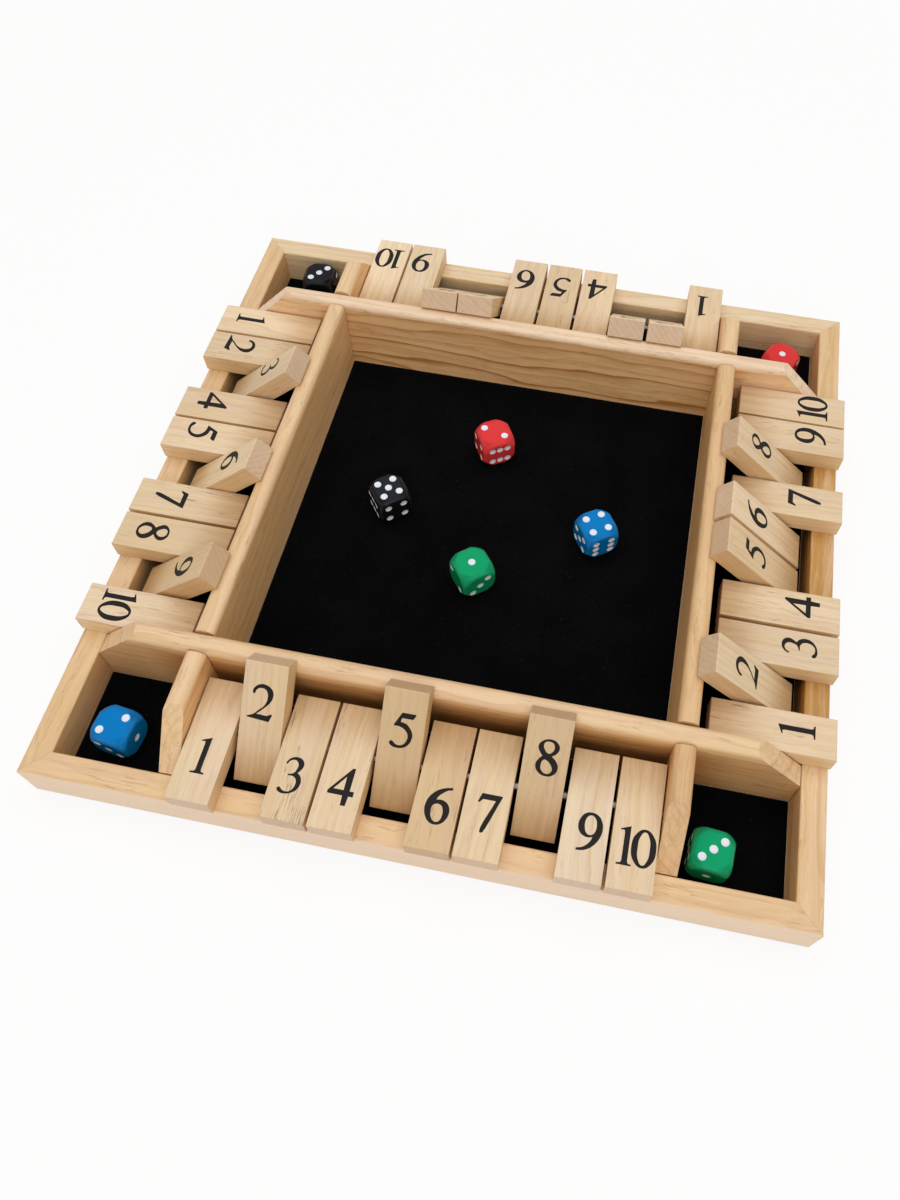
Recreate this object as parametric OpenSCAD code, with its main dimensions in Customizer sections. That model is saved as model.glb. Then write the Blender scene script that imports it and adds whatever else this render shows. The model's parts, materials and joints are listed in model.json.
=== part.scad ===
// Four-player shut the box game: a square tray with a row of ten number tiles on each side.
// Millimetres. X runs right along the front, Y to the back, Z up from the table.
// The origin is the middle of the underside.

/* [Frame] */
// Thickness of the outer rails
rail_t = 10; // [7:0.5:11]
// Height of the outer rails
rail_h = 22; // [21:0.5:26]
// Rounding under the rails' outer edge
rail_round = 2; // [0.5:0.5:4]
// Rounding of the rails' two top edges
rail_edge = 0.8; // [0.2:0.2:1.4]
// Thickness of the base panel
base_t = 4; // [3:0.5:5]
// Depth of the rebate in the rails that takes the base panel
rebate = 4; // [2:0.5:5]

/* [Tray] */
// Thickness of the tray walls and of the row dividers
wall_t = 8.2; // [6.4:0.2:9]
// Height of the tray walls above the table
wall_h = 42.5; // [40:0.5:50]
// Rounding of the walls' and dividers' two top edges
wall_round = 3; // [1.6:0.2:3]
// Space between the end of a wall or divider and the wood that it meets
wall_gap = 0.3; // [0.1:0.1:0.6]
// Width of the slope that brings a wall's end down to the rail
slope_w = 20.4; // [12:0.2:26]
// Thickness of the felt lining
felt_t = 1; // [0.6:0.2:1.6]
// Space between the felt and the wood around it
felt_gap = 0.3; // [0.1:0.1:1]

/* [Tiles] */
// Length of a number tile
tile_l = 48.2; // [46:0.2:56]
// Width of a number tile along its rod
tile_w = 16.6; // [14:0.1:20]
// Thickness of a number tile
tile_t = 9; // [7:0.2:10]
// Rounding of a tile's long edges and end edges
tile_edge = 0.5; // [0.2:0.1:1]
// Distance from a tile's inner end to the middle of its bore
tile_tail = 17.6; // [15:0.2:18.6]
// Even space between two tiles on a rod
tile_gap = 1.3; // [0.8:0.1:2.5]
// Space between the end tiles and the wood at the row's ends
row_gap = 0.65; // [0.3:0.05:1.5]
// Space between the tiles' inner ends and the tray wall
tail_gap = 4.7; // [2:0.1:6]
// How far the tiles reach out past the rails
tile_over = 0.6; // [0:0.1:2]
// Space between a tile and what it rests on
rest_gap = 0.1; // [0.05:0.05:0.4]

/* [Rods] */
// Diameter of the pivot rods
rod_d = 3; // [2:0.2:4]
// Length of rod let into the wood at each end
rod_grip = 5; // [3:0.5:5.5]
// Radial space between a rod and a tile's bore
bore_gap = 0.08; // [0.04:0.01:0.1]
// Radial space between a rod and its socket in the wood
socket_gap = 0.02; // [0.01:0.01:0.1]

/* [Dice] */
// Width of a die
die_w = 16; // [14:0.5:18]
// Rounding of a die's edges
die_edge = 2.4; // [1:0.2:2.6]
// How far a die's corners are rounded off, measured inwards from the sharp corner
die_corner = 3.2; // [2.2:0.2:3.4]
// Diameter of a pip
pip_d = 3.4; // [2.4:0.1:3.5]
// Depth of a pip
pip_deep = 0.7; // [0.4:0.1:1]
// Distance of the outer pips from a face's middle
pip_out = 3.65; // [3.5:0.05:4]
// Space between a die and the felt
die_gap = 0.1; // [0.05:0.05:0.4]

/* [Hidden] */
$fn = 64;
tiles_in_row = 10;

// Heights above the table
floor_z = base_t + felt_t;
shoulder_z = wall_h - wall_round;
rod_z = rail_h + rest_gap + tile_t / 2;

// The tray is as wide inside as a row of tiles with its spaces
tile_step = tile_w + tile_gap;
tray_w = tiles_in_row * tile_step - tile_gap + 2 * row_gap;

// Distances from the middle of the frame
wall_in = tray_w / 2;
wall_out = wall_in + wall_t;
shoulder_in = wall_in + wall_round;
shoulder_out = wall_out - wall_round;
rod_out = wall_out + tail_gap + tile_tail;
frame_out = rod_out + tile_l - tile_tail - tile_over;
frame_in = frame_out - rail_t;
panel_out = frame_in + rebate;
wall_end = frame_in - wall_gap;
slope_top = frame_in - slope_w;

// A tile's swing: from lying on the rail, where it is 0, to leaning on the wall's outer shoulder
lean_side = tile_t / 2 + wall_round + rest_gap;
lean_reach = norm([rod_out - shoulder_out, shoulder_z - rod_z]);
lean = atan2(shoulder_z - rod_z, shoulder_out - rod_out) - asin(lean_side / lean_reach);

// The rows, each turned about the middle from the front row
SIDES = ["front", "right", "back", "left"];
// The tiles that are raised in each row
RAISED = [[2, 5, 8], [2, 5, 6, 8], [2, 3, 7, 8], [3, 6, 9]];
// How far each tile has slid along its rod, as a share of the space between two tiles
SLID = [
    [0, 0.3, -0.1, -0.2, -0.2, -0.4, -0.5, -0.3, 0, 0],
    [0, 0, -0.4, -0.1, 0, 0.4, 0.4, 0, 0.2, 0],
    [0, -0.3, 0, -0.1, 0, 0.1, 0.4, 0, 0.1, 0],
    [0, -0.1, 0, 0, 0, 0.3, -0.2, -0.1, 0, 0],
];

// Each die: name, colour, the corner box it lies in or [0, 0] for the tray, its place there,
// how it is rolled over and its turn about Z. A place is a share of the free room to each side.
DICE = [
    ["red_die_in_tray", "crimson", [0, 0], [-0.09, 0.57], [0, 90, 90], 31],
    ["black_die_in_tray", "dimgray", [0, 0], [-0.59, 0.06], [0, -90, 180], 38],
    ["blue_die_in_tray", "dodgerblue", [0, 0], [0.59, 0.06], [90, 0, 180], 33.5],
    ["green_die_in_tray", "seagreen", [0, 0], [-0.03, -0.32], [0, 0, 0], 39],
    ["red_die_in_box", "crimson", [1, 1], [0.3, 0.33], [0, 0, 0], -25],
    ["black_die_in_box", "dimgray", [-1, 1], [0.07, 0.97], [-90, 0, 180], 4.8],
    ["blue_die_in_box", "dodgerblue", [-1, -1], [-0.33, -0.5], [0, 90, 0], -7.2],
    ["green_die_in_box", "seagreen", [1, -1], [-0.75, -0.7], [-90, 0, 180], -4.8],
];
// Half the width that a turned die takes up, with its rounding
die_reach = 0.58 * die_w;
tray_room = wall_in - die_reach;
box_room = (frame_in - wall_out) / 2 - die_reach;
box_mid = (frame_in + wall_out) / 2;

// The pips of one face, in units of pip_out, by their number
PIPS = [
    [[0, 0]],
    [[-1, -1], [1, 1]],
    [[-1, -1], [0, 0], [1, 1]],
    [[-1, -1], [-1, 1], [1, -1], [1, 1]],
    [[-1, -1], [-1, 1], [0, 0], [1, -1], [1, 1]],
    [[-1, -1], [-1, 0], [-1, 1], [1, -1], [1, 0], [1, 1]],
];
// How a face drawn on top is turned to its own side of the die, by its number
FACE_TURNS = [[0, 0, 0], [0, -90, 0], [90, 0, 0], [-90, 0, 0], [0, 90, 0], [180, 0, 0]];

function tile_name(side, number) = str(side, "_tile_", number);

// 1 where a tile leans on the wall, 0 where it lies on the rail
function is_raised(row, number) = len([for (up = RAISED[row]) if (up == number) up]);

// Middle of a tile along its rod, left to right as seen from outside the frame
function tile_middle(row, number) =
    (number - (tiles_in_row + 1) / 2) * tile_step + SLID[row][number - 1] * tile_gap;

// Turns what is drawn for the front side to another side of the frame
module on_side(row) {
    rotate([0, 0, 90 * row])
        children();
}

// Draws a profile, given as distance outwards and height, and extrudes it along the front side
module along_front(length) {
    rotate([90, 0, -90])
        linear_extrude(length, center = true)
            children();
}

module base_panel() {
    color("burlywood")
        translate([-panel_out, -panel_out, 0])
            cube([2 * panel_out, 2 * panel_out, base_t]);
}

// Section of a rail, from its inner face to its outer one
module rail_profile() {
    difference() {
        rail_block();
        translate([frame_in - 1, -1])
            square([rebate + 1, base_t + 1]);
    }
}

// A rail's block, its outer and top edges rounded, built from squares and discs
module rail_block() {
    translate([frame_in, 0])
        square([rail_t - rail_round, rail_h - rail_edge]);
    translate([frame_out - rail_round, rail_round])
        square([rail_round, rail_h - rail_round - rail_edge]);
    translate([frame_out - rail_round, rail_round])
        circle(rail_round);
    translate([frame_in + rail_edge, rail_h - rail_edge])
        circle(rail_edge);
    translate([frame_out - rail_edge, rail_h - rail_edge])
        circle(rail_edge);
    translate([frame_in + rail_edge, rail_h - 2 * rail_edge])
        square([rail_t - 2 * rail_edge, 2 * rail_edge]);
}

// One rail, its ends mitred to meet its neighbours
module rail(row) {
    color("wheat")
        on_side(row)
            intersection() {
                along_front(2 * frame_out)
                    rail_profile();
                linear_extrude(rail_h)
                    polygon([[0, 0], [-frame_out, -frame_out], [frame_out, -frame_out]]);
            }
}

// Section of a tray wall or divider, with its round shoulders
module wall_profile() {
    translate([wall_in, base_t])
        square([wall_t, shoulder_z - base_t]);
    translate([shoulder_in, shoulder_z - wall_round])
        square([shoulder_out - shoulder_in, 2 * wall_round]);
    for (x = [shoulder_in, shoulder_out])
        translate([x, shoulder_z])
            circle(wall_round);
}

// Outline of a wall that reaches from one side rail to the other and slopes down at both ends
module sloped_outline() {
    polygon([
        [-wall_end, base_t],
        [wall_end, base_t],
        [wall_end, rail_h],
        [slope_top, wall_h],
        [-slope_top, wall_h],
        [-wall_end, rail_h]
    ]);
}

// Sockets for the rods of the two rows that end at a front or back wall
module side_rod_sockets() {
    for (side = [-1, 1])
        translate([side * rod_out, -wall_in + 1, rod_z])
            rotate([90, 0, 0])
                cylinder(h = rod_grip + 1, r = rod_d / 2 + socket_gap);
}

// The front or back wall, over the full width inside the rails
module long_wall(row) {
    color("wheat")
        on_side(row)
            difference() {
                intersection() {
                    along_front(2 * frame_in)
                        wall_profile();
                    translate([0, -wall_in + 1, 0])
                        rotate([90, 0, 0])
                            linear_extrude(wall_t + 2)
                                sloped_outline();
                }
                side_rod_sockets();
            }
}

// The left or right wall, between the front and back wall
module short_wall(row) {
    color("wheat")
        on_side(row)
            along_front(tray_w - 2 * wall_gap)
                wall_profile();
}

// One divider at the left end of the front row, sloped down to the rail
module divider() {
    difference() {
        intersection() {
            translate([0, -(wall_out + frame_in) / 2, 0])
                rotate([90, 0, 0])
                    linear_extrude(frame_in - wall_out - 2 * wall_gap, center = true)
                        mirror([1, 0])
                            wall_profile();
            translate([-wall_in + 1, 0, 0])
                rotate([90, 0, -90])
                    linear_extrude(wall_t + 2)
                        sloped_outline();
        }
        translate([-wall_in + 1, -rod_out, rod_z])
            rotate([0, -90, 0])
                cylinder(h = rod_grip + 1, r = rod_d / 2 + socket_gap);
    }
}

module row_dividers() {
    color("wheat")
        for (front_back = [0, 1], left_right = [0, 1])
            mirror([0, front_back, 0])
                mirror([left_right, 0, 0])
                    divider();
}

// A sheet of felt between two corners given as points
module felt_sheet(from, to) {
    translate([from.x + felt_gap, from.y + felt_gap, base_t])
        cube([to.x - from.x - 2 * felt_gap, to.y - from.y - 2 * felt_gap, felt_t]);
}

module felt_lining() {
    color("black") {
        felt_sheet([-wall_in, -wall_in], [wall_in, wall_in]);
        for (row = [0 : 3])
            on_side(row) {
                felt_sheet([-wall_in, -frame_in], [wall_in, -wall_out]);
                felt_sheet([-frame_in, -frame_in], [-wall_out, -wall_out]);
            }
    }
}

module pivot_rods() {
    color("silver")
        for (row = [0 : 3])
            on_side(row)
                translate([0, -rod_out, rod_z])
                    rotate([0, 90, 0])
                        cylinder(h = tray_w + 2 * rod_grip, d = rod_d, center = true);
}

// Side view of a tile about its bore, its outer end along +X
module tile_outline() {
    left = -tile_tail + tile_edge;
    right = tile_l - tile_tail - tile_edge;
    top = tile_t / 2 - tile_edge;
    translate([left - tile_edge, -top])
        square([tile_l, 2 * top]);
    translate([left, -tile_t / 2])
        square([right - left, tile_t]);
    for (x = [left, right], y = [-top, top])
        translate([x, y])
            circle(tile_edge);
}

// One number tile on its rod, lying on the rail or leaning on the wall
module tile(row, number) {
    color("blanchedalmond")
        on_side(row)
            translate([tile_middle(row, number), -rod_out, rod_z])
                rotate([-lean * is_raised(row, number), 0, 0])
                    rotate([90, 0, -90])
                        difference() {
                            linear_extrude(tile_w, center = true)
                                tile_outline();
                            cylinder(h = tile_w + 2, r = rod_d / 2 + bore_gap, center = true);
                        }
}

// A square with round corners
module rounded_square(width, corner) {
    square([width, width - 2 * corner], center = true);
    square([width - 2 * corner, width], center = true);
    for (x = [-1, 1], y = [-1, 1])
        translate([x, y] * (width / 2 - corner))
            circle(corner);
}

// A square bar with four round edges, turned to run along one of the die's axes
module die_bar(turn) {
    rotate(turn)
        linear_extrude(die_w, center = true)
            rounded_square(die_w, die_edge);
}

// A cube with round edges, and corners cut back by a ball
module die_body() {
    intersection() {
        die_bar([0, 0, 0]);
        die_bar([90, 0, 0]);
        die_bar([0, 90, 0]);
        sphere(die_w / 2 * sqrt(3) - die_corner);
    }
}

// The dished pips of one face, drawn on top of the die
module pips(number) {
    pip_ball = (pow(pip_d / 2, 2) + pow(pip_deep, 2)) / (2 * pip_deep);
    for (spot = PIPS[number - 1])
        translate([spot.x * pip_out, spot.y * pip_out, die_w / 2 - pip_deep + pip_ball])
            sphere(pip_ball);
}

module die(which) {
    corner = which[2];
    room = corner == [0, 0] ? tray_room : box_room;
    middle = corner * box_mid + which[3] * room;
    color(which[1])
        translate([middle.x, middle.y, floor_z + die_gap + die_w / 2])
            rotate(which[4] + [0, 0, which[5]])
                difference() {
                    die_body();
                    for (number = [1 : 6])
                        rotate(FACE_TURNS[number - 1])
                            pips(number);
                }
}

base_panel();
felt_lining();
for (row = [0 : 3])
    rail(row);
for (row = [0, 2])
    long_wall(row);
for (row = [1, 3])
    short_wall(row);
row_dividers();
pivot_rods();
for (row = [0 : 3], number = [1 : tiles_in_row])
    tile(row, number);
for (which = DICE)
    die(which);
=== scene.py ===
import json
import math
import random

import bmesh
import bpy
from mathutils import Euler, Matrix, Vector, noise


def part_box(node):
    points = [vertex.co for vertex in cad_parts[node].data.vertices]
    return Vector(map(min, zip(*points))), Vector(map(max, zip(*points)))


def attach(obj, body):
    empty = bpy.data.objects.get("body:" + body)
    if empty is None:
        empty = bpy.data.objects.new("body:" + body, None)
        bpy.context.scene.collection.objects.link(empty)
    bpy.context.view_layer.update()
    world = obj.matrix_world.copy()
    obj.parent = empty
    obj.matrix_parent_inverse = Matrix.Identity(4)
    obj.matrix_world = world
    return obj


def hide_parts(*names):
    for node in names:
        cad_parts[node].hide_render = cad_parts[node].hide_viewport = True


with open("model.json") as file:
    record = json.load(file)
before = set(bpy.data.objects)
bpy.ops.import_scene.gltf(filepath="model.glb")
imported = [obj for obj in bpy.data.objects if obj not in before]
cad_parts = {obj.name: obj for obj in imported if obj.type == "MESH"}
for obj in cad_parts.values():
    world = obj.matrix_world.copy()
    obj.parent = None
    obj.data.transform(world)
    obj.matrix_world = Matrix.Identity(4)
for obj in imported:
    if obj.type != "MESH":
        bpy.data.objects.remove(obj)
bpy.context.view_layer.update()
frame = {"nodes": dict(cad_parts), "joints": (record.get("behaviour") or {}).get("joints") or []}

MM = 0.001
QUARTER = math.radians(90)
WHITE = (1, 1, 1)
SIDES = ["front", "right", "back", "left"]
TILES_IN_ROW = 10


def middle_of(node):
    """The middle of a CAD node's box, in metres."""
    low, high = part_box(node)
    return (low + high) / 2


def height_of(node):
    """The height of a CAD node's box, in mm."""
    low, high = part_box(node)
    return (high.z - low.z) / MM


# The first front tile and all dice lie flat, so their boxes are as high as they are thick
TILE_THICKNESS = height_of("front_tile_1")
DIE_HALF = height_of("red_die_in_tray") / 2
# How far the outer pips stand from the lines through a face's middle, and a pip's radius
PIP_OUT = 3.65
PIP_RADIUS = 1.7

# The camera, as found from the photograph: its place in metres, its turn, its lens, the width
# of its sensor, its shift as a share of the picture, and how near it still sees, in metres
CAMERA_PLACE = (0.051436, -0.235985, 0.381393)
CAMERA_TURN = (31.8749, -0.8214, 11.1034)
CAMERA_LENS = 29.463
CAMERA_SENSOR = 36
CAMERA_SHIFT = (-0.05228, -0.04364)
CAMERA_NEAREST = 0.01


# Short calls for shader nodes

class Shader:
    """The node tree of a material or of the world, with short calls for its nodes. The
    functions for the materials call it s, because it stands in nearly every line of theirs."""

    def __init__(self, owner):
        self.owner = owner
        owner.use_nodes = True
        self.tree = owner.node_tree
        self.tree.nodes.clear()

    def feed(self, socket, value):
        """Links or sets a socket. Colours are given without the alpha that Blender asks for."""
        if isinstance(value, bpy.types.NodeSocket):
            self.tree.links.new(value, socket)
        elif socket.type == "RGBA":
            socket.default_value = (*value, 1.0)
        else:
            socket.default_value = value

    def node(self, kind, inputs=None, **settings):
        made = self.tree.nodes.new("ShaderNode" + kind)
        for name, value in settings.items():
            setattr(made, name, value)
        for key, value in (inputs or {}).items():
            self.feed(made.inputs[key], value)
        return made

    def math(self, operation, *values, clamp=False):
        made = self.node("Math", operation=operation, use_clamp=clamp)
        for socket, value in zip(made.inputs, values):
            self.feed(socket, value)
        return made.outputs[0]

    def plus(self, first, second):
        return self.math("ADD", first, second)

    def minus(self, first, second):
        return self.math("SUBTRACT", first, second)

    def times(self, first, second, clamp=False):
        return self.math("MULTIPLY", first, second, clamp=clamp)

    def scaled(self, value, factor, base, clamp=False):
        """The value times the factor, plus the base."""
        return self.math("MULTIPLY_ADD", value, factor, base, clamp=clamp)

    def vector_math(self, operation, *values):
        made = self.node("VectorMath", operation=operation)
        for socket, value in zip(made.inputs, values):
            self.feed(socket, value)
        if operation in ("DOT_PRODUCT", "LENGTH"):
            return made.outputs["Value"]
        return made.outputs["Vector"]

    def stretched(self, vector, scale):
        return self.vector_math("MULTIPLY", vector, scale)

    def noise(self, vector, scale=1.0, detail=2.0, roughness=0.5):
        """Noise from 0 to 1. Its scale is how often it changes per mm."""
        made = self.node(
            "TexNoise",
            {"Vector": vector, "Scale": scale, "Detail": detail, "Roughness": roughness},
        )
        return made.outputs[0]

    def between(self, value, start, end):
        """0 before the start, 1 past the end, smooth in between. The end may be the lower one."""
        made = self.node(
            "MapRange",
            {"Value": value, "From Min": start, "From Max": end},
            interpolation_type="SMOOTHSTEP",
        )
        return made.outputs[0]

    def mix(self, factor, first, second, blend="MIX"):
        """Two colours mixed. Sockets 6 and 7 of Blender's Mix node are those for colours."""
        made = self.node("Mix", data_type="RGBA", blend_type=blend)
        self.feed(made.inputs[0], factor)
        self.feed(made.inputs[6], first)
        self.feed(made.inputs[7], second)
        return made.outputs[2]

    def tinted(self, colour, tint):
        return self.mix(1.0, colour, tint, blend="MULTIPLY")

    def ramp(self, factor, stops):
        """Greys along a scale, each stop a place and a shade."""
        made = self.node("ValToRGB", {"Fac": factor})
        made.color_ramp.interpolation = "LINEAR"
        points = made.color_ramp.elements
        while len(points) < len(stops):
            points.new(0.5)
        for point, (place, shade) in zip(points, stops):
            point.position = place
            point.color = (shade, shade, shade, 1)
        return made.outputs[0]

    def place(self, location=(0, 0, 0), turn=(0, 0, 0)):
        """Object coordinates, moved and turned back to a board's or a die's own frame, in mm."""
        made = self.node(
            "Mapping",
            {
                "Vector": self.node("TexCoord").outputs["Object"],
                "Location": location,
                "Rotation": turn,
                "Scale": (MM, MM, MM),
            },
            vector_type="TEXTURE",
        )
        return made.outputs[0]

    def rounded(self, radius, samples):
        """The normal of a surface whose sharp edges look rounded."""
        return self.node("Bevel", {"Radius": radius * MM}, samples=samples).outputs[0]

    def bump(self, height, strength, distance, normal=None):
        """A normal with fine relief, laid over another normal where one is given."""
        inputs = {"Strength": strength, "Distance": distance * MM, "Height": height}
        if normal is not None:
            inputs["Normal"] = normal
        return self.node("Bump", inputs).outputs[0]

    def looked_at(self):
        """1 for rays from the camera and from gloss, which are to meet plain white."""
        rays = self.node("LightPath").outputs
        return self.math("MAXIMUM", rays["Is Camera Ray"], rays["Is Glossy Ray"])

    def finish(self, surface, output="OutputMaterial"):
        end = self.node(output)
        self.tree.links.new(surface.outputs[0], end.inputs["Surface"])
        return self.owner

    def finish_surface(self, settings):
        return self.finish(self.node("BsdfPrincipled", settings))


def new_shader(name):
    return Shader(bpy.data.materials.new(name))


# Wood

# A pattern darkens the wood where its noise is above this, and lightens it below
MIDDLING = 0.45
# How often each pattern of the wood changes per mm, across the grain and along it
PATTERNS = {
    "sway": (0.06, 0.014),
    "ripple": (0.5, 0.09),
    "fibre": (2.2, 0.045),
    "broad": (0.42, 0.010),
    "tone": (0.05, 0.014),
    "hue": (0.16, 0.008),
    "fleck": (1.5, 0.10),
    "patch": (0.22, 0.035),
}
# How dark a growth ring is, at places from the start of its early wood (0) to the end of its
# late wood (1)
RING_SHADES = [(0.0, 0.0), (0.45, 0.08), (0.72, 0.40), (0.88, 1.0), (0.97, 0.8), (1.0, 0.0)]
# Each board's patterns are taken from a place up to this far off in every direction
FAR_OFF = 400
# Where things begin and where they are complete, in a board's own frame: a tile's tail of
# painted shade, the dark front right corner, and the painted shade on the walls, from their
# top and from their ends
TAIL_SHADE = (-4.0, 17.0)
CORNER = (120.0, 180.0)
PAINTED_SHADE_TOP = (21.0, 12.0)
PAINTED_SHADE_ENDS = (120.0, 96.0)
# Over what depth sapwood begins, at a board's top and at its ends
SAPWOOD_TOP = 3
SAPWOOD_ENDS = 8
# Radius and number of samples of the edges' rounding
EDGE_RADIUS = 0.35
EDGE_SAMPLES = 4

# Looks of the woods. First come the colours, among them the tints of painted light and shade
# on outside and upright faces, on tails and walls, and of the painted highlight on edges. Then
# where the log's heart lies from the board's middle, how wide a ring is, how many rings the grain
# sways by and how far the heart slants per mm. Then how strongly each pattern darkens the wood,
# and where there is sapwood, orange streaks that are partly painted shade, and a darker corner.
# Last are how far boards differ in tone, and the surface.
TILE_LOOK = {
    "light": (0.80, 0.628, 0.417),
    "dark": (0.52, 0.31, 0.15),
    "fleck": (0.33, 0.22, 0.13),
    # These colours, all but the end grain's, tint the painted light and shade on outside faces,
    # walls, tails, upright faces and edges. The first is also the sapwood's colour.
    "sapwood_and_painted_light": (0.83, 0.66, 0.47),
    "painted_recess_shade": (0.56, 0.42, 0.28),
    "tail_shade": (0.74, 0.63, 0.49),
    "upright_light_tint": (1.04, 0.96, 0.82),
    "end_tint": (0.88, 0.83, 0.85),
    "painted_edge_highlight": (0.83, 0.65, 0.45),
    "heart": (38.0, -42.0),
    "ring": 2.3,
    "sway": 2.6,
    "slant": 0.06,
    "ring_depth": 0.30,
    "fibre_depth": 0.42,
    "broad_depth": 0.75,
    "fleck_depth": 0.50,
    "tone_depth": 0.45,
    "sapwood": None,
    "streaks_and_shade": None,
    "front_right": None,
    "spread": 0.06,
    "rough": 0.50,
    "bump": 0.35,
    "gloss": 0.30,
}

PINE_LOOK = {
    "light": (0.82, 0.59, 0.345),
    "dark": (0.54, 0.28, 0.10),
    "fleck": (0.33, 0.18, 0.07),
    # These colours, all but the end grain's, tint the painted light and shade on outside faces,
    # walls, tails, upright faces and edges. The first is also the sapwood's colour.
    "sapwood_and_painted_light": (0.88, 0.715, 0.555),
    "painted_recess_shade": (0.56, 0.42, 0.28),
    "tail_shade": None,
    "upright_light_tint": (1.09, 0.99, 0.84),
    "end_tint": (0.86, 0.80, 0.80),
    "painted_edge_highlight": (0.82, 0.62, 0.40),
    "heart": (40.0, -46.0),
    "ring": 3.1,
    "sway": 3.6,
    "slant": 0.03,
    "ring_depth": 0.45,
    "fibre_depth": 0.45,
    "broad_depth": 0.95,
    "fleck_depth": 0.45,
    "tone_depth": 0.50,
    "sapwood": None,
    "streaks_and_shade": None,
    "front_right": None,
    "spread": 0.04,
    "rough": 0.46,
    "bump": 0.4,
    "gloss": 0.38,
}

# Pine with broad, bold rings. Its sapwood is given by how high above and how far along from
# the board's middle it is reached.
BOLD_PINE_LOOK = dict(
    PINE_LOOK,
    light=(0.82, 0.575, 0.32),
    dark=(0.50, 0.235, 0.07),
    heart=(14.0, -80.0),
    ring=5.5,
    sway=3.2,
    ring_depth=1.3,
    sapwood=(21.0, 106.0),
)
# Pine with orange streaks along its middle, partly painted shade between the tiles, given by how
# far along from the board's middle they reach and by how strong they are
STREAKED_PINE_LOOK = dict(
    PINE_LOOK,
    dark=(0.50, 0.25, 0.055),
    ring_depth=0.60,
    streaks_and_shade=(90.0, 0.86),
)
# Paler pine, whose upright faces get painted light
PALE_PINE_LOOK = dict(
    PINE_LOOK,
    light=(0.83, 0.66, 0.42),
    dark=(0.58, 0.34, 0.15),
    upright_light_tint=(1.10, 1.12, 1.08),
)
# The dividers' pine, darker at the front right corner
DIVIDER_LOOK = dict(PINE_LOOK, front_right=0.34)

PLYWOOD_LOOK = dict(
    PINE_LOOK,
    light=(0.66, 0.47, 0.28),
    dark=(0.42, 0.25, 0.12),
    heart=(30.0, -260.0),
    ring=5.0,
    sway=7.0,
    ring_depth=0.30,
    fleck_depth=0.6,
    rough=0.6,
)


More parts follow.
